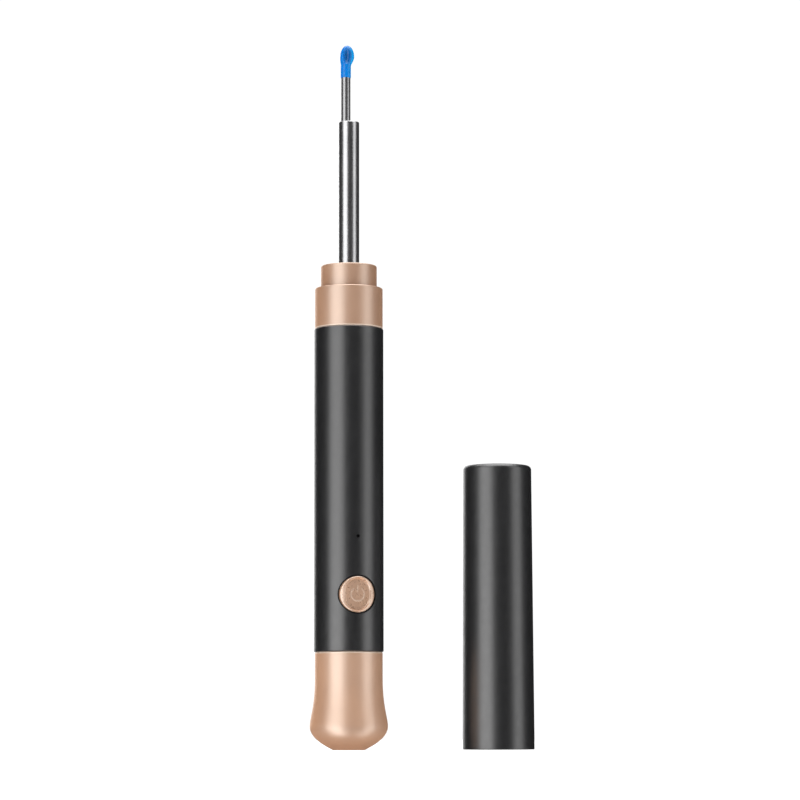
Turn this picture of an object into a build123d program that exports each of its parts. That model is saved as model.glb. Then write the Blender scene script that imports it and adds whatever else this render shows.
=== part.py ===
"""Ear wax cleaner: a slim camera pen with a steel probe and a blue ear scoop, its cap standing beside it.

Millimetres, +Z up. The origin is the middle of the pen's foot. The button faces -Y and the cap stands on +X.
"""

import os
from math import cos, radians, sin, sqrt

from build123d import *

# ---------------------------------------------------------------- driving sizes
# Fits
press_gap = 0.03            # radial gap of a glued or pressed joint
slide_gap = 0.06            # radial gap of a sliding joint
touch_gap = 0.02            # gap between two faces that meet while moving

# Body tube
tube_radius = 7.0
tube_wall = 0.7
tube_length = 65.3
tube_edge = 0.12            # chamfer on both outer rims

# Flared tail
foot_radius = 3.2
waist_step = 0.2            # tail's top rim below the tube's surface
waist_height = 14.2
waist_ease = 5.45           # length over which the flare leaves the straight waist
flare_out = 1.05            # widest point beyond the waist
flare_height = 4.7
flare_ease = 1.65           # length over which the flare leaves its widest point
tail_height = 19.6          # foot to the seam under the tube
dome_reach = 3.5            # how far out the dome's first tangent runs
dome_slope = 0.47           # its rise per unit of reach
dome_ease = 1.4             # length over which the dome turns into its widest point
tail_edge = 0.2
tail_wall = 1.37            # around the spigot's bore
tail_floor = 3.0

# Spigots that enter the tube, and their seals
spigot_length = 6.0
seal_thickness = 0.76
groove_depth = 0.75
groove_width = 1.0
groove_from_shoulder = 2.2

# Stepped neck
collar_step_in = 0.13       # collar below the tube's surface
collar_height = 8.4
spigot_step_in = 1.19       # upper step below the collar's surface
cap_spigot_height = 4.6
collar_round = 0.3
collar_top_wall = 2.0
collar_cavity_wall = 1.37   # around the cavity in the tube spigot

# Steel probe
probe_radius = 2.1
probe_length = 29.8
probe_wall = 0.25
shank_radius = 1.8
shank_wall = 0.35
shank_length = 7.0
probe_end_round = 0.2
probe_floor = 0.5           # thickness of the step between probe bore and shank bore
nut_radius = 3.6
nut_height = 2.4
nut_flats = 6.2             # distance across the two flats

# Camera head inside the probe
head_recess = 0.3
head_length = 6.2
lens_radius = 0.5
lens_thickness = 0.85
lens_spot = (0.1, -1.2)
socket_spot = (-0.55, 0.4)
light_radius = 0.18
light_circle = 1.4
light_angles = (-150, -30, 5, 40)
light_depth = 1.2
sensor_board_thickness = 0.7
sensor_board_radius = 1.6

# Scoop on its rod
rod_radius = 0.95
rod_exposed = 9.3           # probe end to the scoop's lower edge
socket_depth = 5.0
rod_pin_radius = 0.6
rod_pin_length = 2.6
scoop_stem_radius = 1.05
scoop_head_radius = 1.45
scoop_head_half_height = 2.28
scoop_head_offset = (0.31, 0.07)
scoop_height = 6.8
bowl_azimuth = -20          # degrees from -Y towards -X that the bowl looks
bowl_radius = 0.75
bowl_half_height = 1.85
bowl_reach = 1.35           # from the head's middle to the bowl's middle
bowl_lift = 0.15            # how far the bowl's middle stands above the head's middle

# Power button
button_height = 30.9
button_radius = 3.6
button_proud = 0.15         # the rim follows the tube this far above its surface
button_rim_width = 0.4
button_dish = 0.55          # the flat disc below the rim's highest point
button_rim_round = 0.12
button_travel = 0.3         # the plunger stands two travels above the floor of its well
button_ears = (6.6, 9.4)    # flange inside the tube: across and along
button_ear_thickness = 0.7
stem_radius = 1.0
guide_wall = 0.26
guide_length = 10.4
guide_sunk = 0.35           # guide ring below the tube's surface
guide_seat = 4.95           # from the tube's axis to the flat that the ears stop against
symbol_radius = 1.45
symbol_stroke = 0.26
symbol_depth = 0.08
symbol_opening = 70         # degrees left open at the top of the ring
symbol_bar = (0.36, 1.74)   # lower and upper end of the bar, from the button's middle

# Status light
light_hole_height = 42.5
light_hole_radius = 0.35
light_pipe_radius = 0.8
light_pipe_sunk = 0.5

# Circuit board and what stands on it
board_width = 11.2
board_thickness = 1.0
board_length = 51.6
board_front = 0.9           # from the tube's axis forward to the board's front face
switch_size = 4.0
switch_height = 1.6
switch_well = 1.2
plunger_radius = 0.95
plunger_length = 1.5
shield_size = (8.4, 13.0, 1.6)
shield_round = 0.3
shield_centre = 53.5
processor_size = (5.0, 5.0, 0.9)
processor_centre = 64.6
connector_size = (4.6, 3.0, 1.1)
connector_centre = 71.2
status_led_size = (1.6, 0.8, 0.7)
capacitor_size = (0.6, 1.2, 0.6)
motion_chip_size = (2.5, 2.5, 0.8)
motion_chip_centre = 38.6
screw_radius = 0.5
screw_head_radius = 0.9
screw_head_height = 0.5
screw_length = 3.4
screw_across = 9.2
screw_inset = 1.9           # from each end of the board

# Chassis and battery
chassis_gap = 0.1
chassis_end_gap = 0.35
battery_size = (7.8, 4.0, 34.0)
battery_corner = 1.0
battery_bottom = 36.0
battery_gap = 0.1
pocket_headroom = 4.3       # above the battery, for its leads
lead_radius = 0.35
lead_spread = 2.6
lead_rise = 2.4             # above the battery before they bend to the board

# Camera ribbon
ribbon_width = 1.6
ribbon_thickness = 0.12
ribbon_back = 0.35          # behind the axis where it runs up the probe
ribbon_bend = 4.0

# Charging contacts in the foot
insulator_radius = 2.7
insulator_flange_radius = 3.0
insulator_flange = 0.8
contact_pin_radius = 0.75
contact_ring_inner = 1.5
contact_ring_outer = 2.1
contact_ring_depth = 0.7
contact_tail_radius = 0.3
contact_sunk = 0.05
magnet_gap = 0.1
magnet_height = 2.0
charge_board_thickness = 0.8
charge_lead_radius = 0.4
charge_lead_spread = 5.0
charge_lead_bow = 1.6       # how far the spare length bows forward
charge_lead_step = 4.0      # height between the points of that bow
charge_lead_bend = 3.0
charge_lead_lap = 1.0       # how far a lead runs up the board's face

# Cap
cap_centre = 31.6
cap_length = 57.8
cap_wall = 1.57             # at the mouth
cap_draft = 0.35            # how much narrower the closed end is
cap_top_round = 0.9
cap_play = 0.07
cap_end_wall = 1.8
rib_count = 4
rib_radius = 0.5
rib_proud = 0.04
rib_bottom = 0.8
rib_length = 3.6

# ---------------------------------------------------------------- derived places
tube_bore = tube_radius - tube_wall
tube_bottom = tail_height
waist_radius = tube_radius - waist_step
flare_radius = waist_radius + flare_out
tube_top = tube_bottom + tube_length
spigot_radius = tube_bore - press_gap
tail_bore_radius = spigot_radius - tail_wall
collar_radius = tube_radius - collar_step_in
cap_spigot_radius = collar_radius - spigot_step_in
collar_cavity_radius = spigot_radius - collar_cavity_wall
collar_step = tube_top + collar_height
collar_top = collar_step + cap_spigot_height
probe_top = collar_top + probe_length
probe_bore = probe_radius - probe_wall
shank_bore = shank_radius - shank_wall
shank_bottom = collar_top - shank_length
head_top = probe_top - head_recess
head_bottom = head_top - head_length
head_radius = probe_bore - press_gap
rod_bottom = head_top - socket_depth
scoop_bottom = probe_top + rod_exposed
scoop_top = scoop_bottom + scoop_height
button_face = tube_radius + button_proud
button_bore = button_radius + slide_gap
guide_ring_radius = button_bore + guide_wall
button_hole = guide_ring_radius + press_gap
ear_front = guide_seat - slide_gap
ear_back = ear_front - button_ear_thickness
switch_front = board_front + switch_height
plunger_front = switch_front - switch_well + 2 * button_travel + plunger_length
board_back = board_thickness - board_front
board_bottom = tail_height + spigot_length + chassis_end_gap
board_top = board_bottom + board_length
chassis_radius = tube_bore - chassis_gap
chassis_top = tube_top - spigot_length - chassis_end_gap
battery_top = battery_bottom + battery_size[2]
pocket_bottom = battery_bottom - battery_gap
screw_heights = (board_bottom + screw_inset, board_top - screw_inset)
screw_spots = [(x, z) for x in (-screw_across / 2, screw_across / 2) for z in screw_heights]
light_spots = [(light_circle * cos(radians(a)), light_circle * sin(radians(a))) for a in light_angles]
magnet_outer = tail_bore_radius - magnet_gap
magnet_inner = insulator_flange_radius + magnet_gap
cap_bore_radius = cap_spigot_radius + cap_play
cap_mouth_radius = cap_bore_radius + cap_wall
cap_top_radius = cap_mouth_radius - cap_draft


# ---------------------------------------------------------------- outer shells
with BuildPart() as body_tube:
    with BuildSketch(Plane.XY.offset(tube_bottom)):
        Circle(tube_radius)
        Circle(tube_bore, mode=Mode.SUBTRACT)
    extrude(amount=tube_length)
    rims = body_tube.edges().filter_by(GeomType.CIRCLE).filter_by(lambda e: e.radius > tube_bore + 0.01)
    chamfer(rims, tube_edge)
    with BuildSketch(Plane.XZ):
        with Locations((0, button_height)):
            Circle(button_hole)
        with Locations((0, light_hole_height)):
            Circle(light_hole_radius)
    extrude(amount=tube_radius + 1, mode=Mode.SUBTRACT)

with BuildPart() as tail_cap:
    with BuildSketch(Plane.XZ):
        with BuildLine():
            Line((0, 0), (foot_radius, 0))
            Bezier(
                (foot_radius, 0),
                (foot_radius + dome_reach, dome_reach * dome_slope),
                (flare_radius, flare_height - dome_ease),
                (flare_radius, flare_height),
            )
            Bezier(
                (flare_radius, flare_height),
                (flare_radius, flare_height + flare_ease),
                (waist_radius, waist_height - waist_ease),
                (waist_radius, waist_height),
            )
            Polyline(
                (waist_radius, waist_height),
                (waist_radius, tail_height - tail_edge),
                (waist_radius - tail_edge, tail_height),
                (spigot_radius, tail_height),
                (spigot_radius, tail_height + spigot_length),
                (0, tail_height + spigot_length),
                (0, 0),
            )
        make_face()
    revolve(axis=Axis.Z)
    with BuildSketch(Plane.XY.offset(tail_floor)):
        Circle(tail_bore_radius)
    extrude(amount=tail_height + spigot_length - tail_floor, mode=Mode.SUBTRACT)
    with BuildSketch(Plane.XY):
        Circle(insulator_radius + press_gap)
    extrude(amount=tail_floor, mode=Mode.SUBTRACT)
    with BuildSketch(Plane.XY.offset(tail_height + groove_from_shoulder)):
        Circle(spigot_radius)
        Circle(spigot_radius - groove_depth, mode=Mode.SUBTRACT)
    extrude(amount=groove_width, mode=Mode.SUBTRACT)

with BuildPart() as neck_collar:
    with BuildSketch(Plane.XY.offset(tube_top - spigot_length)):
        Circle(spigot_radius)
    extrude(amount=spigot_length)
    with BuildSketch(Plane.XY.offset(tube_top)):
        Circle(collar_radius)
    extrude(amount=collar_height)
    with BuildSketch(Plane.XY.offset(collar_step)):
        Circle(cap_spigot_radius)
    extrude(amount=cap_spigot_height)
    shoulders = neck_collar.edges().filter_by(GeomType.CIRCLE)
    wide_rims = shoulders.filter_by(lambda e: abs(e.radius - collar_radius) < 0.01)
    top_rim = shoulders.sort_by(Axis.Z)[-1]
    fillet([wide_rims.sort_by(Axis.Z)[-1], top_rim], collar_round)
    chamfer(wide_rims.sort_by(Axis.Z)[0], tail_edge)
    with BuildSketch(Plane.XY.offset(tube_top - spigot_length)):
        Circle(collar_cavity_radius)
    extrude(amount=collar_top - collar_top_wall - (tube_top - spigot_length), mode=Mode.SUBTRACT)
    with BuildSketch(Plane.XY.offset(collar_top)):
        Circle(shank_radius + press_gap)
    extrude(amount=-collar_top_wall, mode=Mode.SUBTRACT)
    with BuildSketch(Plane.XY.offset(tube_top - groove_from_shoulder - groove_width)):
        Circle(spigot_radius)
        Circle(spigot_radius - groove_depth, mode=Mode.SUBTRACT)
    extrude(amount=groove_width, mode=Mode.SUBTRACT)

# Rubber rings in the two spigot grooves
seal_ring_radius = tube_bore - touch_gap - seal_thickness / 2
with BuildPart() as tail_seal:
    with BuildSketch(Plane.XZ):
        with Locations((seal_ring_radius, tail_height + groove_from_shoulder + groove_width / 2)):
            Circle(seal_thickness / 2 - touch_gap)
    revolve(axis=Axis.Z)

with BuildPart() as neck_seal:
    with BuildSketch(Plane.XZ):
        with Locations((seal_ring_radius, tube_top - groove_from_shoulder - groove_width / 2)):
            Circle(seal_thickness / 2 - touch_gap)
    revolve(axis=Axis.Z)

# ---------------------------------------------------------------- probe and camera head
with BuildPart() as probe_barrel:
    with BuildSketch(Plane.XY.offset(collar_top)):
        Circle(probe_radius)
    extrude(amount=probe_length)
    fillet(probe_barrel.edges().filter_by(GeomType.CIRCLE).sort_by(Axis.Z)[-1], probe_end_round)
    with BuildSketch(Plane.XY.offset(shank_bottom)):
        Circle(shank_radius)
    extrude(amount=shank_length)
    with BuildSketch(Plane.XY.offset(collar_top + probe_floor)):
        Circle(probe_bore)
    extrude(amount=probe_length - probe_floor, mode=Mode.SUBTRACT)
    with BuildSketch(Plane.XY.offset(shank_bottom)):
        Circle(shank_bore)
    extrude(amount=shank_length + probe_floor, mode=Mode.SUBTRACT)

with BuildPart() as probe_nut:
    with BuildSketch(Plane.XY.offset(collar_top - collar_top_wall)):
        Circle(nut_radius)
        Rectangle(nut_flats, 2 * nut_radius, mode=Mode.INTERSECT)
        Circle(shank_radius + press_gap, mode=Mode.SUBTRACT)
    extrude(amount=-nut_height)

with BuildPart() as lens_bezel:
    with BuildSketch(Plane.XY.offset(head_bottom)):
        Circle(head_radius)
        with Locations(lens_spot):
            Circle(lens_radius + press_gap, mode=Mode.SUBTRACT)
    extrude(amount=head_length)
    with BuildSketch(Plane.XY.offset(head_top)):
        with Locations(socket_spot):
            Circle(rod_radius + press_gap)
    extrude(amount=-socket_depth - touch_gap, mode=Mode.SUBTRACT)
    with BuildSketch(Plane.XY.offset(head_top)):
        with Locations(*light_spots):
            Circle(light_radius + touch_gap)
    extrude(amount=-light_depth, mode=Mode.SUBTRACT)

with BuildPart() as camera_lens:
    with BuildSketch(Plane.XY.offset(head_top - touch_gap)):
        with Locations(lens_spot):
            Circle(lens_radius)
    extrude(amount=-lens_thickness)

with BuildPart() as light_windows:
    with BuildSketch(Plane.XY.offset(head_top - touch_gap)):
        with Locations(*light_spots):
            Circle(light_radius)
    extrude(amount=touch_gap - light_depth)

with BuildPart() as camera_module:
    with BuildSketch(Plane.XY.offset(head_bottom)):
        with Locations(lens_spot):
            Circle(lens_radius)
    extrude(amount=head_length - lens_thickness - 2 * touch_gap)

with BuildPart() as sensor_board:
    with BuildSketch(Plane.XY.offset(head_bottom)):
        Circle(sensor_board_radius)
    extrude(amount=-sensor_board_thickness)

ribbon_top = head_bottom - sensor_board_thickness
ribbon_front = board_front + connector_size[2] / 2
ribbon_end = connector_centre + connector_size[1] / 2
with BuildPart() as camera_ribbon:
    with BuildLine(Plane.YZ) as ribbon_path:
        FilletPolyline(
            (ribbon_back, ribbon_top),
            (ribbon_back, shank_bottom - ribbon_bend),
            (-ribbon_front, ribbon_end + ribbon_bend),
            (-ribbon_front, ribbon_end),
            radius=ribbon_bend,
        )
    with BuildSketch(Plane.XY.offset(ribbon_top)):
        with Locations((0, ribbon_back)):
            Rectangle(ribbon_width, ribbon_thickness)
    sweep(path=ribbon_path.line)

# ---------------------------------------------------------------- scoop
with BuildPart() as scoop_rod:
    with BuildSketch(Plane.XY.offset(rod_bottom)):
        with Locations(socket_spot):
            Circle(rod_radius)
    extrude(amount=scoop_bottom - rod_bottom)
    with BuildSketch(Plane.XY.offset(scoop_bottom)):
        with Locations(socket_spot):
            Circle(rod_pin_radius)
    extrude(amount=rod_pin_length)

scoop_head_middle = scoop_top - scoop_head_half_height
scoop_head_spot = (socket_spot[0] + scoop_head_offset[0], socket_spot[1] + scoop_head_offset[1])
bowl_spot = (
    scoop_head_spot[0] + bowl_reach * sin(radians(bowl_azimuth)),
    scoop_head_spot[1] - bowl_reach * cos(radians(bowl_azimuth)),
)
with BuildPart() as ear_scoop:
    with BuildSketch(Plane.XY.offset(scoop_bottom)):
        with Locations(socket_spot):
            Circle(scoop_stem_radius)
    extrude(amount=scoop_head_middle - scoop_bottom)
    head_axis = Axis((*scoop_head_spot, 0), (0, 0, 1))
    with BuildSketch(Plane.XZ.offset(-scoop_head_spot[1])):
        with Locations((scoop_head_spot[0], scoop_head_middle)):
            Ellipse(scoop_head_radius, scoop_head_half_height)
            with Locations((-scoop_head_radius, 0)):
                Rectangle(2 * scoop_head_radius, 2 * scoop_head_half_height, mode=Mode.SUBTRACT)
    revolve(axis=head_axis)
    bowl_axis = Axis((*bowl_spot, 0), (0, 0, 1))
    with BuildSketch(Plane.XZ.offset(-bowl_spot[1])):
        with Locations((bowl_spot[0], scoop_head_middle + bowl_lift)):
            Ellipse(bowl_radius, bowl_half_height)
            with Locations((-bowl_radius, 0)):
                Rectangle(2 * bowl_radius, 2 * bowl_half_height, mode=Mode.SUBTRACT)
    revolve(axis=bowl_axis, mode=Mode.SUBTRACT)
    with BuildSketch(Plane.XY.offset(scoop_bottom)):
        with Locations(socket_spot):
            Circle(rod_pin_radius + touch_gap)
    extrude(amount=rod_pin_length + touch_gap, mode=Mode.SUBTRACT)

# ---------------------------------------------------------------- power button
with BuildPart() as power_button:
    with BuildSketch(Plane.XZ.offset(ear_front)):
        with Locations((0, button_height)):
            Circle(button_radius)
    extrude(amount=button_face - ear_front)
    with BuildSketch(Plane.XY.offset(button_height - button_radius)):
        Circle(button_face)
    extrude(amount=2 * button_radius, mode=Mode.INTERSECT)
    front_rim = power_button.faces().sort_by(Axis.Y)[0].edges()
    fillet(front_rim, button_rim_round)
    with BuildSketch(Plane.XZ.offset(button_face)):
        with Locations((0, button_height)):
            Circle(button_radius - button_rim_width)
    extrude(amount=-button_dish, mode=Mode.SUBTRACT)
    with BuildSketch(Plane.XZ.offset(ear_back)):
        with Locations((0, button_height)):
            Rectangle(*button_ears)
    extrude(amount=button_ear_thickness)
    with BuildSketch(Plane.XZ.offset(plunger_front + touch_gap)):
        with Locations((0, button_height)):
            Circle(stem_radius)
    extrude(amount=ear_back - plunger_front - touch_gap)
    with BuildSketch(Plane.XZ.offset(button_face - button_dish)):
        with Locations((0, button_height)):
            with BuildLine():
                CenterArc((0, 0), symbol_radius, 90 + symbol_opening / 2, 360 - symbol_opening)
            trace(line_width=symbol_stroke)
            with BuildLine():
                Line((0, symbol_bar[0]), (0, symbol_bar[1]))
            trace(line_width=symbol_stroke)
    extrude(amount=-symbol_depth, mode=Mode.SUBTRACT)

with BuildPart() as button_guide:
    with BuildSketch(Plane.XZ.offset(guide_seat)):
        with Locations((0, button_height)):
            Circle(guide_ring_radius)
    extrude(amount=tube_radius - guide_seat)
    with BuildSketch(Plane.XY.offset(button_height - guide_ring_radius)):
        Circle(tube_radius - guide_sunk)
    extrude(amount=2 * guide_ring_radius, mode=Mode.INTERSECT)
    with BuildSketch(Plane.XY.offset(button_height - guide_length / 2)):
        Circle(spigot_radius)
        with Locations((0, tube_radius - guide_seat)):
            Rectangle(2 * tube_radius, 2 * tube_radius, mode=Mode.SUBTRACT)
    extrude(amount=guide_length)
    with BuildSketch(Plane.XZ):
        with Locations((0, button_height)):
            Circle(button_bore)
    extrude(amount=tube_radius + 1, mode=Mode.SUBTRACT)

with BuildPart() as tact_switch:
    with BuildSketch(Plane.XZ.offset(board_front)):
        with Locations((0, button_height)):
            Rectangle(switch_size, switch_size)
    extrude(amount=switch_height)
    with BuildSketch(Plane.XZ.offset(switch_front)):
        with Locations((0, button_height)):
            Circle(plunger_radius + slide_gap)
    extrude(amount=-switch_well, mode=Mode.SUBTRACT)

with BuildPart() as switch_plunger:
    with BuildSketch(Plane.XZ.offset(plunger_front)):
        with Locations((0, button_height)):
            Circle(plunger_radius)
    extrude(amount=-plunger_length)

# ---------------------------------------------------------------- circuit board
with BuildPart() as circuit_board:
    with BuildSketch(Plane.XZ.offset(board_front)):
        with Locations((0, board_bottom + board_length / 2)):
            Rectangle(board_width, board_length)
        with Locations(*screw_spots):
            Circle(screw_radius + slide_gap, mode=Mode.SUBTRACT)
    extrude(amount=-board_thickness)

with BuildPart() as board_screws:
    with BuildSketch(Plane.XZ.offset(board_front)):
        with Locations(*screw_spots):
            Circle(screw_head_radius)
    extrude(amount=screw_head_height)
    with BuildSketch(Plane.XZ.offset(board_front)):
        with Locations(*screw_spots):
            Circle(screw_radius)
    extrude(amount=-screw_length)

with BuildPart() as shield_can:
    with BuildSketch(Plane.XZ.offset(board_front)):
        with Locations((0, shield_centre)):
            Rectangle(shield_size[0], shield_size[1])
    extrude(amount=shield_size[2])
    fillet(shield_can.faces().sort_by(Axis.Y)[0].edges(), shield_round)

with BuildPart() as processor_chip:
    with BuildSketch(Plane.XZ.offset(board_front)):
        with Locations((0, processor_centre)):
            Rectangle(processor_size[0], processor_size[1])
    extrude(amount=processor_size[2])

with BuildPart() as ribbon_connector:
    with BuildSketch(Plane.XZ.offset(board_front)):
        with Locations((0, connector_centre)):
            Rectangle(connector_size[0], connector_size[1])
    extrude(amount=connector_size[2])

with BuildPart() as status_led:
    with BuildSketch(Plane.XZ.offset(board_front)):
        with Locations((0, light_hole_height)):
            Rectangle(status_led_size[0], status_led_size[1])
    extrude(amount=status_led_size[2])

with BuildPart() as board_components:
    with BuildSketch(Plane.XZ.offset(board_front)):
        with Locations((0, motion_chip_centre)):
            Rectangle(motion_chip_size[0], motion_chip_size[1])
    extrude(amount=motion_chip_size[2])
    with BuildSketch(Plane.XZ.offset(board_front)):
        with Locations((0, motion_chip_centre)):
            with GridLocations(2 * motion_chip_size[0], 2 * capacitor_size[1], 2, 3):
                Rectangle(capacitor_size[0], capacitor_size[1])
        with Locations((0, processor_centre)):
            with GridLocations(processor_size[0] + 4 * capacitor_size[0], 2 * capacitor_size[1], 2, 3):
                Rectangle(capacitor_size[0], capacitor_size[1])
    extrude(amount=capacitor_size[2])

light_pipe_back = board_front + status_led_size[2] + touch_gap
light_pipe_shoulder = sqrt(spigot_radius**2 - light_pipe_radius**2)
with BuildPart() as light_pipe:
    with BuildSketch(Plane.XZ.offset(light_pipe_back)):
        with Locations((0, light_hole_height)):
            Circle(light_pipe_radius)
    extrude(amount=light_pipe_shoulder - light_pipe_back)
    with BuildSketch(Plane.XZ.offset(light_pipe_shoulder)):
        with Locations((0, light_hole_height)):
            Circle(light_hole_radius - press_gap)
    extrude(amount=tube_radius - light_pipe_sunk - light_pipe_shoulder)

# ---------------------------------------------------------------- chassis and battery
with BuildPart() as chassis:
    with BuildSketch(Plane.XY.offset(board_bottom)):
        Circle(chassis_radius)
        with Locations((0, -board_front - chassis_radius)):
            Rectangle(2 * chassis_radius, 2 * chassis_radius, mode=Mode.SUBTRACT)
        with Locations((0, board_back - chassis_radius)):
            Rectangle(board_width + 2 * slide_gap, 2 * chassis_radius, mode=Mode.SUBTRACT)
    extrude(amount=chassis_top - board_bottom)
    with BuildSketch(Plane.XY.offset(pocket_bottom)):
        with Locations((0, board_back + battery_size[1] / 2 + battery_gap)):
            Rectangle(battery_size[0] + 2 * battery_gap, battery_size[1] + 2 * battery_gap)
    extrude(amount=battery_top + pocket_headroom - pocket_bottom, mode=Mode.SUBTRACT)
    with BuildSketch(Plane.XZ.offset(-board_back)):
        with Locations(*screw_spots):
            Circle(screw_radius + press_gap)
    extrude(amount=board_thickness - screw_length - touch_gap, mode=Mode.SUBTRACT)

battery_middle = board_back + battery_gap + battery_size[1] / 2
with BuildPart() as battery_cell:
    with BuildSketch(Plane.XY.offset(battery_bottom)):
        with Locations((0, battery_middle)):
            RectangleRounded(battery_size[0], battery_size[1], battery_corner)
    extrude(amount=battery_size[2])

with BuildPart() as battery_leads:
    for side in (-lead_spread / 2, lead_spread / 2):
        with BuildLine(Plane.YZ.offset(side)) as lead_path:
            FilletPolyline(
                (battery_middle, battery_top),
                (battery_middle, battery_top + lead_rise),
                (board_back, battery_top + lead_rise),
                radius=battery_middle / 2,
            )
        with BuildSketch(Plane.XY.offset(battery_top)):
            with Locations((side, battery_middle)):
                Circle(lead_radius)
        sweep(path=lead_path.line)

# ---------------------------------------------------------------- charging contacts
flange_top = tail_floor + insulator_flange
charge_board_bottom = tail_floor + magnet_height
contact_top = charge_board_bottom + charge_board_thickness
contact_middle = (contact_ring_inner + contact_ring_outer) / 2
with BuildPart() as charge_insulator:
    with BuildSketch(Plane.XY.offset(contact_sunk)):
        Circle(insulator_radius)
    extrude(amount=tail_floor - contact_sunk)
    with BuildSketch(Plane.XY.offset(tail_floor)):
        Circle(insulator_flange_radius)
    extrude(amount=insulator_flange)
    with BuildSketch(Plane.XY.offset(contact_sunk)):
        Circle(contact_pin_radius + touch_gap)
        with PolarLocations(contact_middle, 2):
            Circle(contact_tail_radius + touch_gap)
    extrude(amount=flange_top, mode=Mode.SUBTRACT)
    with BuildSketch(Plane.XY.offset(contact_sunk)):
        Circle(contact_ring_outer + touch_gap)
        Circle(contact_ring_inner - touch_gap, mode=Mode.SUBTRACT)
    extrude(amount=contact_ring_depth + touch_gap, mode=Mode.SUBTRACT)

with BuildPart() as contact_pin:
    with BuildSketch(Plane.XY.offset(contact_sunk)):
        Circle(contact_pin_radius)
    extrude(amount=contact_top - contact_sunk)

with BuildPart() as contact_ring:
    with BuildSketch(Plane.XY.offset(contact_sunk)):
        Circle(contact_ring_outer)
        Circle(contact_ring_inner, mode=Mode.SUBTRACT)
    extrude(amount=contact_ring_depth)
    with BuildSketch(Plane.XY.offset(contact_sunk)):
        with PolarLocations(contact_middle, 2):
            Circle(contact_tail_radius)
    extrude(amount=contact_top - contact_sunk)

with BuildPart() as dock_magnet:
    with BuildSketch(Plane.XY.offset(tail_floor)):
        Circle(magnet_outer)
        Circle(magnet_inner, mode=Mode.SUBTRACT)
    extrude(amount=magnet_height)

with BuildPart() as charge_board:
    with BuildSketch(Plane.XY.offset(charge_board_bottom)):
        Circle(magnet_outer)
        Circle(contact_pin_radius + touch_gap, mode=Mode.SUBTRACT)
        with PolarLocations(contact_middle, 2):
            Circle(contact_tail_radius + touch_gap, mode=Mode.SUBTRACT)
    extrude(amount=charge_board_thickness)

charge_lead_front = board_front + charge_lead_radius + touch_gap
charge_lead_top = board_bottom + charge_lead_lap
with BuildPart() as charge_leads:
    for side in (-charge_lead_spread / 2, charge_lead_spread / 2):
        with BuildLine(Plane.YZ.offset(side)) as charge_path:
            FilletPolyline(
                (-charge_lead_front, contact_top),
                (-charge_lead_front, contact_top + charge_lead_step),
                (-charge_lead_front - charge_lead_bow, contact_top + 2 * charge_lead_step),
                (-charge_lead_front, contact_top + 3 * charge_lead_step),
                (-charge_lead_front, charge_lead_top),
                radius=charge_lead_bend,
            )
        with BuildSketch(Plane.XY.offset(contact_top)):
            with Locations((side, -charge_lead_front)):
                Circle(charge_lead_radius)
        sweep(path=charge_path.line)

# ---------------------------------------------------------------- cap
with BuildPart() as cap_shell:
    with BuildSketch(Plane.XZ):
        with BuildLine():
            Polyline(
                (cap_centre, 0),
                (cap_centre + cap_mouth_radius, 0),
                (cap_centre + cap_top_radius, cap_length),
                (cap_centre, cap_length),
                close=True,
            )
        make_face()
    revolve(axis=Axis((cap_centre, 0, 0), (0, 0, 1)))
    outer_rims = cap_shell.edges().filter_by(GeomType.CIRCLE).sort_by(Axis.Z)
    fillet(outer_rims[-1], cap_top_round)
    chamfer(outer_rims[0], tube_edge)
    with BuildSketch(Plane.XY):
        with Locations((cap_centre, 0)):
            Circle(cap_bore_radius)
    extrude(amount=cap_length - cap_end_wall, mode=Mode.SUBTRACT)
    with BuildSketch(Plane.XY.offset(rib_bottom)):
        with Locations((cap_centre, 0)):
            with PolarLocations(cap_bore_radius + rib_radius - rib_proud, rib_count):
                Circle(rib_radius)
    extrude(amount=rib_length)

# ---------------------------------------------------------------- write each piece
pieces = {
    "body_tube": body_tube,
    "tail_cap": tail_cap,
    "neck_collar": neck_collar,
    "tail_seal": tail_seal,
    "neck_seal": neck_seal,
    "probe_barrel": probe_barrel,
    "probe_nut": probe_nut,
    "lens_bezel": lens_bezel,
    "camera_lens": camera_lens,
    "light_windows": light_windows,
    "camera_module": camera_module,
    "sensor_board": sensor_board,
    "camera_ribbon": camera_ribbon,
    "scoop_rod": scoop_rod,
    "ear_scoop": ear_scoop,
    "power_button": power_button,
    "button_guide": button_guide,
    "tact_switch": tact_switch,
    "switch_plunger": switch_plunger,
    "circuit_board": circuit_board,
    "board_screws": board_screws,
    "shield_can": shield_can,
    "processor_chip": processor_chip,
    "ribbon_connector": ribbon_connector,
    "status_led": status_led,
    "board_components": board_components,
    "light_pipe": light_pipe,
    "chassis": chassis,
    "battery_cell": battery_cell,
    "battery_leads": battery_leads,
    "charge_insulator": charge_insulator,
    "contact_pin": contact_pin,
    "contact_ring": contact_ring,
    "dock_magnet": dock_magnet,
    "charge_board": charge_board,
    "charge_leads": charge_leads,
    "cap_shell": cap_shell,
}
os.makedirs("parts", exist_ok=True)
for name, piece in pieces.items():
    piece.part.label = name
    export_step(piece.part, f"parts/{name}.step")
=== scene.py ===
"""Looks of the ear wax cleaner: button, scoop, finishes, floor, lights and camera."""

from math import cos, pi, radians, sin, sqrt

import bmesh
import bpy
from mathutils import Matrix, Quaternion, Vector


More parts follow.
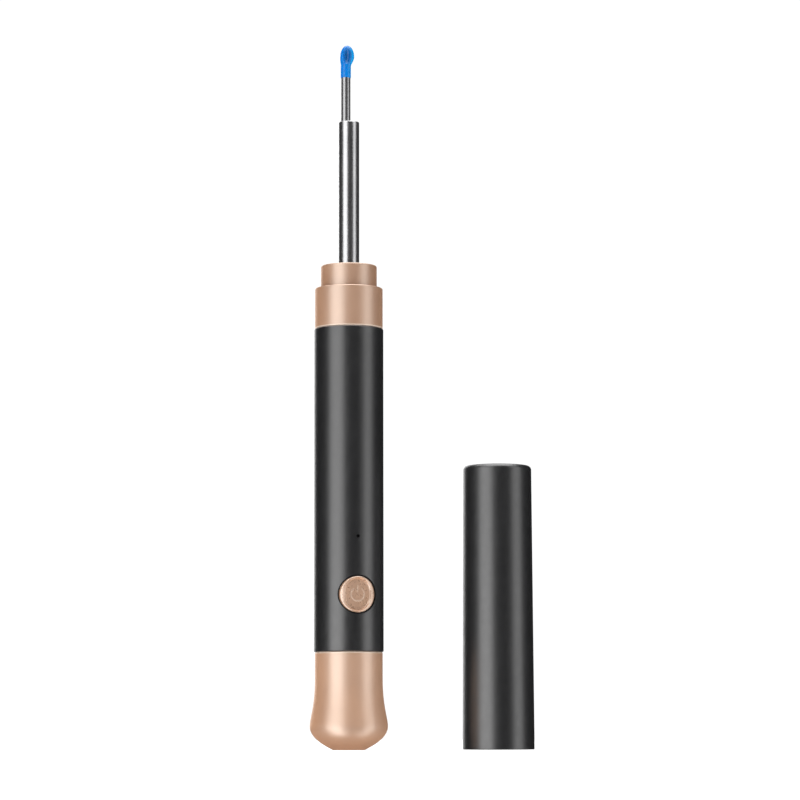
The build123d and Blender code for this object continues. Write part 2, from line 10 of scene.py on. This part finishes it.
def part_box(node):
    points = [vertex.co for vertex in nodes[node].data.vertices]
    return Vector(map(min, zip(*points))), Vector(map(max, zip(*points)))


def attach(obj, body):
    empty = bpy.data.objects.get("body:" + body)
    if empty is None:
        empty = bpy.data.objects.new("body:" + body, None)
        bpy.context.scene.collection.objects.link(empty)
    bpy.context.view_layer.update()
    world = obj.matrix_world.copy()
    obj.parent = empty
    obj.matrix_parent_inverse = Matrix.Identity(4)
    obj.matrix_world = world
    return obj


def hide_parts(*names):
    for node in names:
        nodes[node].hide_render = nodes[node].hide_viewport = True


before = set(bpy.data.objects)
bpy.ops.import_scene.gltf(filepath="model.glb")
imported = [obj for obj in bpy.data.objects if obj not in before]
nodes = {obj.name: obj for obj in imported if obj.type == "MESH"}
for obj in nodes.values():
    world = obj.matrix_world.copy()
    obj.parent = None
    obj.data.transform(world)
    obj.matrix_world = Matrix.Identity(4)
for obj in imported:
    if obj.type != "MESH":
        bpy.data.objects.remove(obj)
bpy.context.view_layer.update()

MM = 0.001
STEPS = 160                       # facets round a turned piece
SHARP = radians(32)               # edges that turn more than this stay crisp
DOUBLES = 1e-7                    # points closer than this are merged
SAME_HEIGHT = 1e-6                # closer than this they are at one height
SAME_RADIUS = 1e-5                # and closer than this on one circle
NOISE_REACH = (0.30, 0.70)        # most of a noise pattern's values lie between these
NOISE_CORE = (0.35, 0.65)         # a two-colour finish blends between these
MIX_FIRST, MIX_SECOND, MIX_RESULT = 6, 7, 2  # a Mix node's colour sockets


# ---------------- sizes read from the frame
def low(node):
    """A node's lowest corner."""
    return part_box(node)[0]


def high(node):
    """A node's highest corner."""
    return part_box(node)[1]


def half_width(node):
    """Half of a node's width along X, the radius of a round one."""
    return (high(node).x - low(node).x) / 2


def middle(node):
    """The middle of a node's box."""
    return (low(node) + high(node)) / 2


tube_bottom = low("body_tube").z
tube_top = high("body_tube").z
rod_centre = middle("scoop_rod")
button_centre = middle("power_button")
scoop_middle = middle("ear_scoop")
head_radius = half_width("ear_scoop")


# ---------------- mesh helpers
def piece(name, bm, body, stands_for, material, sharp=SHARP):
    """Turns a bmesh into a smooth-shaded object that rides on a body and stands for CAD nodes."""
    for edge in bm.edges:
        edge.smooth = len(edge.link_faces) == 2 and edge.calc_face_angle(0) < sharp
    for face in bm.faces:
        face.smooth = True
    mesh = bpy.data.meshes.new(name)
    bm.to_mesh(mesh)
    bm.free()
    obj = bpy.data.objects.new(name, mesh)
    bpy.context.scene.collection.objects.link(obj)
    mesh.materials.append(material)
    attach(obj, body)
    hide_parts(*stands_for)


def turned(outline, steps=STEPS):
    """Spins a closed outline of (radius, height) points about the vertical axis."""
    bm = bmesh.new()
    corners = [bm.verts.new((r, 0, z)) for r, z in outline]
    ring = [bm.edges.new(pair) for pair in zip(corners, corners[1:] + corners[:1])]
    bmesh.ops.spin(
        bm,
        geom=corners + ring,
        cent=(0, 0, 0),
        axis=(0, 0, 1),
        angle=2 * pi,
        steps=steps,
        use_merge=True,
    )
    bmesh.ops.remove_doubles(bm, verts=bm.verts, dist=DOUBLES)
    bmesh.ops.recalc_face_normals(bm, faces=bm.faces)
    return bm


def round_ring(bm, radius, height, width):
    """Bevels a circular edge."""

    def on_ring(point):
        same_radius = abs(point.xy.length - radius) < SAME_RADIUS
        return same_radius and abs(point.z - height) < SAME_HEIGHT

    ring = [edge for edge in bm.edges if all(on_ring(vert.co) for vert in edge.verts)]
    bmesh.ops.bevel(
        bm, geom=ring, offset=width, segments=3, affect="EDGES", profile=0.5, material=-1
    )


def ease(value, start, end):
    """0 before start, 1 after end, and smooth between."""
    share = min(1, max(0, (value - start) / (end - start)))
    return share * share * (3 - 2 * share)


# ---------------- material helpers
class Finish:
    """A procedural material: a Principled shader, with node chains on Object coordinates."""

    def __init__(self, name, **sockets):
        self.material = bpy.data.materials.new(name)
        self.material.use_nodes = True
        self.tree = self.material.node_tree
        self.tree.nodes.clear()
        self.shader = self.add("ShaderNodeBsdfPrincipled")
        output = self.add("ShaderNodeOutputMaterial")
        self.tree.links.new(self.shader.outputs[0], output.inputs[0])
        for socket, value in sockets.items():
            self.shader.inputs[socket.replace("_", " ")].default_value = value
        self.place = self.add("ShaderNodeTexCoord").outputs["Object"]

    def add(self, kind, **settings):
        """A new node with its settings."""
        node = self.tree.nodes.new(kind)
        for key, value in settings.items():
            setattr(node, key, value)
        return node

    def link(self, output, node, socket):
        """Links an output to a node's input."""
        self.tree.links.new(output, node.inputs[socket])

    def mapped(self, scale, offset=(0, 0, 0)):
        """Object coordinates, stretched and moved."""
        node = self.add("ShaderNodeMapping")
        self.link(self.place, node, "Vector")
        node.inputs["Scale"].default_value = scale
        node.inputs["Location"].default_value = offset
        return node.outputs[0]

    def noise(self, size, detail=3.0, stretch=(1, 1, 1)):
        """A noise pattern whose blobs are about size metres across."""
        node = self.add("ShaderNodeTexNoise")
        self.link(self.mapped([s / size for s in stretch]), node, "Vector")
        node.inputs["Scale"].default_value = 1.0
        node.inputs["Detail"].default_value = detail
        return node.outputs["Fac"]

    def ramp(self, value, stops):
        """Colours along a value, as (position, colour) stops."""
        node = self.add("ShaderNodeValToRGB")
        self.link(value, node, 0)
        stops = list(stops)
        elements = node.color_ramp.elements
        while len(elements) < len(stops):
            elements.new(0.5)
        for element, (position, colour) in zip(elements, stops):
            element.position = position
            element.color = (*colour, 1)
        return node.outputs["Color"]

    def spread(self, value, lowest, highest):
        """A noise value's middle range, spread between two numbers."""
        node = self.add("ShaderNodeMapRange")
        self.link(value, node, "Value")
        node.inputs["From Min"].default_value = NOISE_REACH[0]
        node.inputs["From Max"].default_value = NOISE_REACH[1]
        node.inputs["To Min"].default_value = lowest
        node.inputs["To Max"].default_value = highest
        return node.outputs[0]

    def wander(self, value, first, second):
        """A colour that wanders between two close ones."""
        return self.ramp(value, zip(NOISE_CORE, (first, second)))

    def colour(self, value, first, second):
        """The surface's colour, wandering between two close ones."""
        self.link(self.wander(value, first, second), self.shader, "Base Color")

    def roughness(self, value, lowest, highest):
        """The surface's roughness, wandering between two numbers."""
        self.link(self.spread(value, lowest, highest), self.shader, "Roughness")

    def axes(self, vector):
        """A vector's three coordinates."""
        node = self.add("ShaderNodeSeparateXYZ")
        self.link(vector, node, 0)
        return node.outputs

    def math(self, operation, first, second=None):
        """One sum of values or numbers."""
        node = self.add("ShaderNodeMath", operation=operation)
        for socket, value in enumerate((first, second)):
            if isinstance(value, (int, float)):
                node.inputs[socket].default_value = value
            elif value is not None:
                self.link(value, node, socket)
        return node.outputs[0]

    def mix(self, share, first, second):
        """One colour output, with another colour laid over it by a share."""
        node = self.add("ShaderNodeMix", data_type="RGBA")
        self.link(share, node, "Factor")
        self.link(first, node, MIX_FIRST)
        node.inputs[MIX_SECOND].default_value = (*second, 1)
        return node.outputs[MIX_RESULT]

    def squares(self, first, second):
        """The sum of two values' squares."""
        return self.math("ADD", self.math("POWER", first, 2), self.math("POWER", second, 2))

    def band(self, value, centre, width):
        """1 where the value is within half the width of the centre, else 0."""
        offset = self.math("ABSOLUTE", self.math("SUBTRACT", value, centre))
        return self.math("LESS_THAN", offset, width / 2)

    def bump(self, value, depth, strength=1.0):
        """Relief of about depth metres."""
        node = self.add("ShaderNodeBump")
        node.inputs["Strength"].default_value = strength
        node.inputs["Distance"].default_value = depth
        self.link(value, node, "Height")
        self.link(node.outputs[0], self.shader, "Normal")


def black_anodising(name):
    """Satin black with a fine blasted grain."""
    finish = Finish(name, IOR=2.2)
    finish.colour(finish.noise(6 * MM), (0.005, 0.005, 0.006), (0.007, 0.007, 0.008))
    finish.roughness(finish.noise(1.2 * MM), 0.33, 0.39)
    finish.bump(finish.noise(0.07 * MM, detail=1.0), 0.0025 * MM, 0.35)
    return finish.material


rose_gloss = {"IOR": 2.8, "Specular_IOR_Level": 1.0, "Specular_Tint": (1.0, 0.89, 0.79, 1.0)}
painted_highlight_reach = 0.36 * MM           # how far the painted highlight band at the tube joint reaches from the tube
# the colour of the painted highlight band, a pale metal
painted_highlight_colour = (0.95, 0.72, 0.57)


def rose_anodising(name, first, second, painted_highlight_height):
    """Satin rose-gold metal with faint turning lines and a painted highlight band at the tube
    joint, where an edge would catch the light.
    """
    finish = Finish(name, **rose_gloss)
    height = finish.axes(finish.mapped((1, 1, 1)))[2]
    # painted highlight: a pale band of base colour at the tube joint stands in for an edge catching
    # the light
    edge = finish.band(height, painted_highlight_height, 2 * painted_highlight_reach)
    satin = finish.wander(finish.noise(5 * MM), first, second)
    finish.link(finish.mix(edge, satin, painted_highlight_colour), finish.shader, "Base Color")
    finish.roughness(finish.noise(0.8 * MM, stretch=(1, 1, 6)), 0.38, 0.44)
    finish.bump(finish.noise(0.05 * MM, detail=2.0, stretch=(0.3, 0.3, 1)), 0.002 * MM, 0.3)
    return finish.material


def rose_button():
    """Rose-gold button with a fine power symbol: an open ring and a bar through its gap."""
    finish = Finish("rose_gold_button", **rose_gloss)
    finish.roughness(finish.noise(0.5 * MM), 0.26, 0.32)
    x, _, z = finish.axes(finish.mapped((1, 1, 1), offset=-button_centre))
    radius = finish.math("SQRT", finish.squares(x, z))
    turn = finish.math("ARCTAN2", finish.math("ABSOLUTE", x), z)
    gap = finish.math("LESS_THAN", turn, symbol_gap)
    circle = finish.band(radius, symbol_radius, symbol_stroke)
    ring = finish.math("MULTIPLY", circle, finish.math("SUBTRACT", 1, gap))
    bar_height = finish.band(z, symbol_bar_middle, symbol_radius)
    bar = finish.math("MULTIPLY", finish.band(x, 0, symbol_stroke), bar_height)
    mark = finish.math("MAXIMUM", ring, bar)
    tint = finish.ramp(mark, [(0, button_rose), (1, button_mark)])
    finish.link(tint, finish.shader, "Base Color")
    grain = finish.math("MULTIPLY", finish.noise(0.08 * MM, detail=1.0), button_grain)
    finish.bump(finish.math("SUBTRACT", grain, mark), mark_depth, 0.5)
    return finish.material


steel_dark, steel_light = (0.66, 0.66, 0.67), (0.72, 0.72, 0.73)


def bright_steel(name, smoothest, roughest, tint=1.0):
    """Stainless steel with hair-fine lines along it."""
    finish = Finish(name, Metallic=1.0)
    dark, light = ([tint * c for c in colour] for colour in (steel_dark, steel_light))
    finish.colour(finish.noise(4 * MM), dark, light)
    finish.roughness(finish.noise(0.6 * MM, stretch=(1, 1, 0.1)), smoothest, roughest)
    finish.bump(finish.noise(0.04 * MM, detail=2.0, stretch=(1, 1, 0.03)), 0.0004 * MM, 0.12)
    return finish.material


blue_depth = {
    "Subsurface_Weight": 0.2,
    "Subsurface_Scale": 0.5 * MM,
    "Subsurface_Radius": (0.05, 0.7, 1.0),
}


def clear_blue():
    """Glossy blue plastic that lets some light in, with painted light making it paler towards the
    cap and painted shade making it darker in its hollow.
    """
    finish = Finish("clear_blue_plastic", IOR=1.5, **blue_depth)
    across, ahead, height = finish.axes(finish.mapped((1, 1, 1), offset=-scoop_middle))
    flow = finish.spread(finish.noise(1.5 * MM), -flow_reach, flow_reach)
    share = finish.math("DIVIDE", finish.math("ADD", across, flow), 2 * head_radius)
    # painted light: the blue pales across the scoop towards the cap, as if lit through from that
    # side
    stops = [(0.25, full_blue), (0.5, mid_blue), (0.8, painted_lit_blue)]
    tint = finish.ramp(finish.math("ADD", share, 0.5), stops)
    head_height = high("ear_scoop").z - scoop_middle.z - head_half_height
    beside = finish.math("DIVIDE", finish.math("ADD", across, bowl_offset), bowl_radius)
    above = finish.math("DIVIDE", finish.math("SUBTRACT", height, head_height), bowl_half_height)
    inside = finish.math("SUBTRACT", 1, finish.squares(beside, above))
    in_front = finish.math("LESS_THAN", ahead, 0)
    depth = finish.math("MULTIPLY", finish.math("MAXIMUM", inside, 0), in_front)
    # painted shade: the base colour darkens towards the middle of the hollow
    painted_hollow_shade = finish.mix(finish.math("POWER", depth, 0.6), tint, painted_hollow_shade_blue)
    finish.link(painted_hollow_shade, finish.shader, "Base Color")
    finish.roughness(finish.noise(0.4 * MM), 0.26, 0.32)
    finish.bump(finish.noise(0.5 * MM, detail=1.0), 0.0005 * MM, 0.2)
    return finish.material


def plain(name, first, second, rough=(0.4, 0.5), grain=0.08, depth=0.003, metallic=0.0, **sockets):
    """A moulded, plated or printed surface with its own grain, in millimetres."""
    finish = Finish(name, Metallic=metallic, **sockets)
    finish.colour(finish.noise(12 * grain * MM), first, second)
    finish.roughness(finish.noise(5 * grain * MM), *rough)
    finish.bump(finish.noise(grain * MM, detail=2.0), depth * MM, 0.4)
    return finish.material


# ---------------- power button
symbol_radius = 1.35 * MM
symbol_stroke = 0.24 * MM
symbol_gap = radians(35)          # half of the ring's gap
symbol_bar_middle = 0.78 * symbol_radius
button_rose = (0.60, 0.345, 0.215)
button_mark = (0.78, 0.54, 0.40)
mark_depth = 0.03 * MM
button_grain = 0.015              # the grain's depth as a share of the mark's
button_radius = 3.6 * MM
rim_curve = -low("power_button").y  # the rim's front lies on a cylinder of this radius
button_back = -high("power_button").y
button_height = high("power_button").z - low("power_button").z
disc_reach = 3.2 * MM             # half of the disc along the pen
disc_half_width = 2.72 * MM       # and across it
disc_front = 6.6 * MM             # from the tube's axis to the disc's edge
disc_hollow = 0.10 * MM           # how much deeper the disc's middle is
groove_depth = 0.07 * MM
groove_wall = (0.90, 0.97)        # where the groove starts and is deepest, as shares of the disc
rim_wall = (0.98, 1.06)           # and where the rim rises
edge_round = 0.24 * MM            # radius of the rim's outer edge
fine_share = 0.88                 # the grid is finer beyond this share of the disc
disc_steps, rim_steps = 16, 36
flange_front = 4.89 * MM          # from the tube's axis to the flange's front
flange_thickness = 0.7 * MM
flange_width = 6.6 * MM
stem_radius = 1.0 * MM


def button_surface(across, along):
    """How far the button's front stands from the tube's axis at a point of its circle."""
    radius = sqrt(across**2 + along**2)
    rim = sqrt(rim_curve**2 - across**2)
    to_edge = button_radius - radius
    if to_edge < edge_round:
        rim -= edge_round - sqrt(max(0, edge_round**2 - (edge_round - to_edge) ** 2))
    spread = sqrt((across / disc_half_width) ** 2 + (along / disc_reach) ** 2)
    disc = disc_front - disc_hollow * (1 - min(1, spread) ** 2)
    disc -= groove_depth * ease(spread, *groove_wall)
    return disc + (rim - disc) * ease(spread, *rim_wall)


def follow_disc(point):
    """Moves a point of the button's round grid, so that its rings follow the disc's oval edge."""
    radius = point.length
    if radius == 0:
        return point
    edge = radius / sqrt((point.x / disc_half_width) ** 2 + (point.y / disc_reach) ** 2)
    if radius < disc_half_width:
        return point * (edge / disc_half_width)
    outer = (radius - disc_half_width) / (button_radius - disc_half_width)
    return point * ((edge + outer * (button_radius - edge)) / radius)


def power_button():
    """The round button: a hollowed disc in a rim, and the flange and stem behind it."""
    fine_from = fine_share * disc_half_width
    radii = [fine_from * i / disc_steps for i in range(disc_steps)]
    radii += [
        fine_from + (button_radius - fine_from) * i / rim_steps for i in range(rim_steps + 1)
    ]
    outline = [(radius, disc_front) for radius in radii]
    outline += [(button_radius, flange_front), (stem_radius, flange_front)]
    outline += [(stem_radius, button_back), (0, button_back)]
    bm = turned(outline)
    for vert in bm.verts:
        if vert.co.z > flange_front + SAME_HEIGHT:
            vert.co.xy = follow_disc(vert.co.xy)
            vert.co.z = button_surface(vert.co.x, vert.co.y)
    flange_place = Matrix.Translation((0, 0, flange_front - flange_thickness / 2))
    flange_size = Matrix.Diagonal((flange_width, button_height, flange_thickness, 1))
    bmesh.ops.create_cube(bm, size=1, matrix=flange_place @ flange_size)
    turn = Matrix.Translation((0, 0, button_centre.z)) @ Matrix.Rotation(pi / 2, 4, "X")
    bmesh.ops.transform(bm, matrix=turn, verts=bm.verts)
    piece("button_cap", bm, "button", ["power_button"], rose_button())


# ---------------- ear scoop
head_half_height = 2.28 * MM
sleeve_radius = 1.05 * MM         # the scoop's round stem
mouth_round = 0.12 * MM
blend_power = 9                   # how tightly the head grows out of the stem
pin_radius = 0.6 * MM
pin_gap = 0.02 * MM               # between the rod's pin and the scoop's hole
bowl_azimuth = -20                # the hollow's side: 0 is the button's, negative away from the cap
bowl_radius = 0.75 * MM
bowl_half_height = 1.85 * MM
bowl_reach = 1.35 * MM            # from the head's axis to the hollow's middle
bowl_lift = 0.15 * MM             # and from the head's widest point up to it
bowl_offset = 0.05 * MM           # how far the hollow's painted shade stands from the scoop's middle
scoop_steps = 120                 # facets round the scoop
level_steps = 40                  # and rows in each half of its height
rim_passes = 3                    # how often the hollow's rim is smoothed
rim_smoothing = 0.5
scoop_sharp = radians(70)         # the scoop's edges stay smooth up to this turn
flow_reach = 0.1 * MM             # how far the painted light-and-shade tints wander
full_blue, mid_blue = (0.002, 0.20, 0.66), (0.001, 0.23, 0.70)
# a paler blue painted as light on one side of the scoop, and a dark blue painted as shade in its
# hollow
painted_lit_blue, painted_hollow_shade_blue = (0.003, 0.42, 0.95), (0.001, 0.10, 0.34)


def scoop():
    """The blue scoop: a round stem that swells into a leaf-shaped head with a hollow."""
    bottom, top = low("ear_scoop").z, high("ear_scoop").z
    head_middle = top - head_half_height
    stem_centre = Vector((rod_centre.x, rod_centre.y, 0))
    head_centre = Vector((scoop_middle.x, high("ear_scoop").y - head_radius, 0))
    pin_top = high("scoop_rod").z + pin_gap

    def girth(z):
        """The radius at a height: the larger of stem and head, blended where they meet."""
        stem = sleeve_radius if z < head_middle else 0
        swell = head_radius * sqrt(max(0, 1 - ((z - head_middle) / head_half_height) ** 2))
        return (stem**blend_power + swell**blend_power) ** (1 / blend_power)

    levels = [bottom + (head_middle - bottom) * i / level_steps for i in range(level_steps)]
    levels += [
        head_middle + head_half_height * sin(pi / 2 * i / level_steps) for i in range(level_steps)
    ]
    outline = [(0, pin_top), (pin_radius + pin_gap, pin_top), (pin_radius + pin_gap, bottom)]
    outline += [(girth(z), z) for z in levels] + [(0, top)]
    bm = turned(outline, steps=scoop_steps)
    round_ring(bm, sleeve_radius, bottom, mouth_round)
    for vert in bm.verts:
        share = ease(vert.co.z, head_middle - head_half_height, head_middle)
        vert.co += stem_centre.lerp(head_centre, share)

    facing = Vector((sin(radians(bowl_azimuth)), -cos(radians(bowl_azimuth)), 0))
    across = Vector((-facing.y, facing.x, 0))
    bowl = head_centre + facing * bowl_reach + Vector((0, 0, head_middle + bowl_lift))
    hollowed = []
    for vert in bm.verts:
        offset = vert.co - bowl
        away = 1 - (offset.dot(across) / bowl_radius) ** 2 - (offset.z / bowl_half_height) ** 2
        if away > 0 and offset.dot(facing) > -bowl_radius * sqrt(away):
            vert.co -= facing * (offset.dot(facing) + bowl_radius * sqrt(away))
            hollowed.append(vert)
    rim = {n for v in hollowed for e in v.link_edges for n in e.verts}
    for _ in range(rim_passes):
        bmesh.ops.smooth_vert(
            bm,
            verts=list(rim),
            factor=rim_smoothing,
            use_axis_x=True,
            use_axis_y=True,
            use_axis_z=True,
        )
    piece("blue_scoop", bm, "scoop", ["ear_scoop"], clear_blue(), sharp=scoop_sharp)


power_button()
scoop()


# ---------------- finishes on the carried-over nodes
finishes = {
    "black_anodised": black_anodising("black_anodised_tube"),
    "black_cap": black_anodising("black_satin_cap"),
    "rose_gold": rose_anodising(
        "rose_gold_collar", (0.52, 0.262, 0.142), (0.56, 0.288, 0.158), tube_top
    ),
    "polished_steel": bright_steel("polished_stainless", 0.26, 0.30),
    "seal_rubber": plain("nitrile_seal", (0.012, 0.012, 0.012), (0.02, 0.02, 0.02), (0.6, 0.75)),
    "nut_brass": plain(
        "turned_brass", (0.62, 0.44, 0.18), (0.70, 0.52, 0.24), (0.25, 0.35), metallic=1.0
    ),
    "head_plastic": plain(
        "black_head_plastic", (0.008, 0.008, 0.009), (0.012, 0.012, 0.013), (0.18, 0.26)
    ),
    "module_metal": plain(
        "black_lens_barrel", (0.02, 0.02, 0.022), (0.03, 0.03, 0.03), (0.3, 0.4), metallic=0.6
    ),
    "board_laminate": plain(
        "green_solder_mask", (0.008, 0.085, 0.03), (0.012, 0.11, 0.04), (0.3, 0.42)
    ),
    "ribbon_film": plain("amber_film", (0.42, 0.17, 0.02), (0.50, 0.22, 0.03), (0.2, 0.3)),
    "black_plastic": plain(
        "black_moulding", (0.015, 0.015, 0.016), (0.022, 0.022, 0.023), (0.42, 0.55)
    ),
    "ivory_plastic": plain("ivory_moulding", (0.62, 0.57, 0.45), (0.68, 0.63, 0.52), (0.4, 0.5)),
    "screw_steel": plain(
        "zinc_screw", (0.42, 0.42, 0.43), (0.50, 0.50, 0.51), (0.25, 0.38), metallic=1.0
    ),
    "tin_plate": plain(
        "tinned_shield", (0.56, 0.56, 0.55), (0.63, 0.63, 0.62), (0.28, 0.4), metallic=1.0
    ),
    "chip_epoxy": plain("chip_epoxy", (0.018, 0.018, 0.02), (0.026, 0.026, 0.028), (0.5, 0.62)),
    "led_plastic": plain("phosphor_cap", (0.72, 0.62, 0.25), (0.78, 0.70, 0.32), (0.3, 0.4)),
    "part_ceramic": plain("fired_ceramic", (0.30, 0.19, 0.10), (0.38, 0.25, 0.14), (0.45, 0.6)),
    "chassis_nylon": plain("black_nylon", (0.03, 0.03, 0.032), (0.045, 0.045, 0.047), (0.5, 0.62)),
    "battery_foil": plain(
        "foil_pouch", (0.52, 0.53, 0.54), (0.60, 0.61, 0.62), (0.22, 0.38), grain=0.4, metallic=1.0
    ),
    "lead_rubber": plain("red_silicone", (0.32, 0.012, 0.012), (0.40, 0.02, 0.018), (0.4, 0.52)),
    "contact_gold": plain(
        "gold_plate", (0.86, 0.60, 0.22), (0.90, 0.66, 0.28), (0.16, 0.26), metallic=1.0
    ),
    "magnet_nickel": plain(
        "nickel_plate", (0.55, 0.54, 0.52), (0.62, 0.61, 0.59), (0.16, 0.26), metallic=1.0
    ),
    "clear_plastic": plain(
        "clear_light_guide",
        (0.88, 0.90, 0.92),
        (0.94, 0.95, 0.96),
        (0.08, 0.16),
        Transmission_Weight=0.8,
    ),
    "lens_glass": plain(
        "coated_lens_glass", (0.03, 0.02, 0.07), (0.05, 0.03, 0.10), (0.02, 0.05), Coat_Weight=1.0
    ),
}
for node in nodes.values():
    slot_name = node.data.materials[0].name.split(".")[0]
    if slot_name in finishes:
        node.data.materials[0] = finishes[slot_name]
nodes["scoop_rod"].data.materials[0] = bright_steel("satin_stainless_rod", 0.32, 0.36, tint=0.76)
# painted light: the tail's base colour is lighter than the collar's, standing in for the stronger
# light low down
nodes["tail_cap"].data.materials[0] = rose_anodising(
    "rose_gold_tail_painted_lighter", (0.60, 0.305, 0.165), (0.64, 0.33, 0.18), tube_bottom
)
nodes["light_pipe"].data.materials[0] = plain(
    "smoked_light_guide", (0.004, 0.004, 0.004), (0.006, 0.006, 0.006), (0.3, 0.4), Coat_Weight=0.1
)


# ---------------- floor, lights and camera
floor_radius, floor_facets = 0.45, 96
floor_drop = 0.02 * MM            # keeps the floor clear of the faces that stand on it
floor_shine = {
    "Specular_IOR_Level": 0.0,
    "Roughness": 0.9,
    "Emission_Color": (1, 1, 1, 1),
    "Emission_Strength": 0.45,
}
sky_white = 1.05                  # the sky's brightness to the camera
ambient = 0.03                    # and as a light


def floor():
    """A pale round floor under the object."""
    bm = bmesh.new()
    bmesh.ops.create_circle(bm, cap_ends=True, segments=floor_facets, radius=floor_radius)
    mesh = bpy.data.meshes.new("floor")
    bm.to_mesh(mesh)
    bm.free()
    finish = Finish("pale_floor", **floor_shine)
    finish.colour(finish.noise(60 * MM), (0.90, 0.90, 0.90), (0.92, 0.92, 0.92))
    mesh.materials.append(finish.material)
    obj = bpy.data.objects.new("floor", mesh)
    bpy.context.scene.collection.objects.link(obj)
    obj.location.z = -floor_drop
    obj.visible_glossy = False
    obj.visible_shadow = False


def around(azimuth, distance, height):
    """A point round the object: azimuth 0 is in front of the button, positive towards the cap."""
    a = radians(azimuth)
    return Vector((distance * sin(a), -distance * cos(a), height))


def softbox(name, place, target, size, power):
    """A rectangular soft light that the camera doesn't see."""
    lamp = bpy.data.lights.new(name, "AREA")
    lamp.shape = "RECTANGLE"
    lamp.size, lamp.size_y = size
    lamp.energy = power
    obj = bpy.data.objects.new(name, lamp)
    bpy.context.scene.collection.objects.link(obj)
    obj.location = place
    obj.rotation_mode = "QUATERNION"
    obj.rotation_quaternion = (place - target).to_track_quat("Z", "Y")
    obj.visible_camera = False


def radiance(size, level):
    """The power that gives a rectangular light that brightness."""
    return level * size[0] * size[1] * pi


def side_softboxes(name, azimuth, width, level, low_level):
    """A tall soft light beside the object, and a second one just in front of its lower part."""
    for part, light, distance, top in (
        ("tall", level, tall_distance, tall_top),
        ("low", low_level, low_distance, low_top),
    ):
        size = (width * distance / tall_distance, top - softbox_bottom)
        middle_height = (top + softbox_bottom) / 2
        place, target = around(azimuth, distance, middle_height), around(0, 0, middle_height)
        softbox(f"{part}_{name}_softbox", place, target, size, radiance(size, light))


def sky():
    """White where the camera sees past the floor, dim grey as a light."""
    world = bpy.data.worlds.new("studio")
    bpy.context.scene.world = world
    world.use_nodes = True
    tree = world.node_tree
    tree.nodes.clear()
    path = tree.nodes.new("ShaderNodeLightPath")
    seen = tree.nodes.new("ShaderNodeBackground")
    seen.inputs["Color"].default_value = (1, 1, 1, 1)
    seen.inputs["Strength"].default_value = sky_white
    lit = tree.nodes.new("ShaderNodeBackground")
    lit.inputs["Color"].default_value = (1, 1, 1, 1)
    lit.inputs["Strength"].default_value = ambient
    mix = tree.nodes.new("ShaderNodeMixShader")
    output = tree.nodes.new("ShaderNodeOutputWorld")
    tree.links.new(path.outputs["Is Camera Ray"], mix.inputs[0])
    tree.links.new(lit.outputs[0], mix.inputs[1])
    tree.links.new(seen.outputs[0], mix.inputs[2])
    tree.links.new(mix.outputs[0], output.inputs[0])


view_azimuth = -16.5              # the camera stands a little to the left of the button
camera_distance = 604.9 * MM
camera_side = 10.37 * MM          # how far the camera stands to the right of the pen
camera_height = 4.78 * MM
camera_pitch = 6.2                # degrees up
camera_roll = -0.1                # degrees
camera_lens, camera_sensor = 135, 36  # millimetres
camera_near = 0.01                # nothing closer than this shows
tall_distance, tall_top = 0.62, 0.70
low_distance, low_top = 0.60, 0.07
softbox_bottom = -1.50            # below the floor, so that the shells show no lower end of it
left_side = (view_azimuth - 41, 0.54, 1.5, 0.6)  # azimuth, width, tall and low brightness
right_side = (view_azimuth + 67, 0.36, 1.0, 0.3)
back_place, back_size, back_level = around(view_azimuth - 164, 0.80, 0.25), (0.50, 0.60), 1.8
back_target = Vector((0, 0, 0.07))
top_place, top_size, top_level = Vector((0.01, 0, 0.75)), (0.9, 0.9), 2.8
top_target = Vector((0.01, 0, 0))

floor()
sky()
side_softboxes("left", *left_side)
side_softboxes("right", *right_side)
softbox("back_softbox", back_place, back_target, back_size, radiance(back_size, back_level))
softbox("top_softbox", top_place, top_target, top_size, radiance(top_size, top_level))

camera_data = bpy.data.cameras.new("camera")
camera_data.lens = camera_lens
camera_data.sensor_width = camera_sensor
camera_data.clip_start = camera_near
camera = bpy.data.objects.new("camera", camera_data)
bpy.context.scene.collection.objects.link(camera)
to_camera = around(view_azimuth, 1, 0)
to_right = Vector((-to_camera.y, to_camera.x, 0))
rise = Vector((0, 0, camera_height))
camera.location = to_camera * camera_distance + to_right * camera_side + rise
ahead = -to_camera * cos(radians(camera_pitch)) + Vector((0, 0, sin(radians(camera_pitch))))
roll = Quaternion((0, 0, 1), radians(camera_roll))
camera.rotation_mode = "QUATERNION"
camera.rotation_quaternion = (-ahead).to_track_quat("Z", "Y") @ roll
bpy.context.scene.camera = camera
bpy.context.scene.view_settings.view_transform = "Standard"
